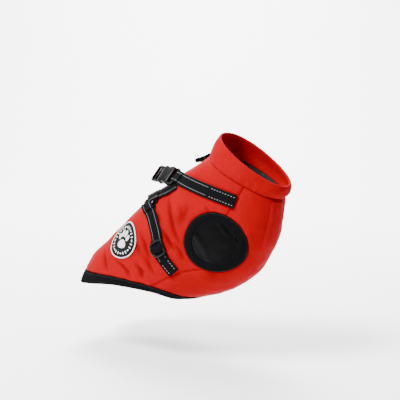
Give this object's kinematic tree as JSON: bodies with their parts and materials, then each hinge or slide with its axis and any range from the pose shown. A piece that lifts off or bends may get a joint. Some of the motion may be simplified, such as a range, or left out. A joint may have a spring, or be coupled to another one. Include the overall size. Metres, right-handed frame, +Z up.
{
  "type": "dog coat with a built-in harness",
  "caption": "Padded dog coat with a stand collar, wide ribbed bindings at the hem and armholes, and a webbing harness with a buckle on the back.",
  "frame": {"origin": "inner face of the cloth, on the back line at the withers, where the wearer's back holds the coat up", "axes": "+X towards the neck, +Y to the wearer's left, +Z up, out of the back"},
  "size_m": [0.3665, 0.1607, 0.251],
  "materials": {
    "red_shell": "smooth woven red shell over thin wadding",
    "black_rib": "ribbed black binding",
    "black_webbing": "black webbing with two grey reflective lines",
    "badge_black": "black woven badge",
    "badge_white": "white woven border",
    "black_plastic": "black moulded plastic",
    "steel": "dull steel wire"
  },
  "bodies": {
    "root": {"back_panel": "red_shell", "chest_panel": "red_shell", "front_placket": "red_shell", "collar": "red_shell", "armhole_binding_right": "black_rib", "armhole_binding_left": "black_rib", "hem_binding": "black_rib", "nape_tab": "black_webbing", "badge_disc": "badge_black", "badge_border": "badge_white", "front_strap_right": "black_webbing", "front_strap_left": "black_webbing", "back_band_right": "black_webbing", "back_band_left": "black_webbing", "rear_strap_right": "black_webbing", "rear_strap_left": "black_webbing", "rear_strap_end_right": "black_webbing", "rear_strap_end_left": "black_webbing", "slider_right": "black_plastic", "slider_left": "black_plastic", "rear_ring_right": "steel", "rear_ring_left": "steel", "buckle_socket": "black_plastic", "buckle_plug": "black_plastic"}
  },
  "joints": []
}
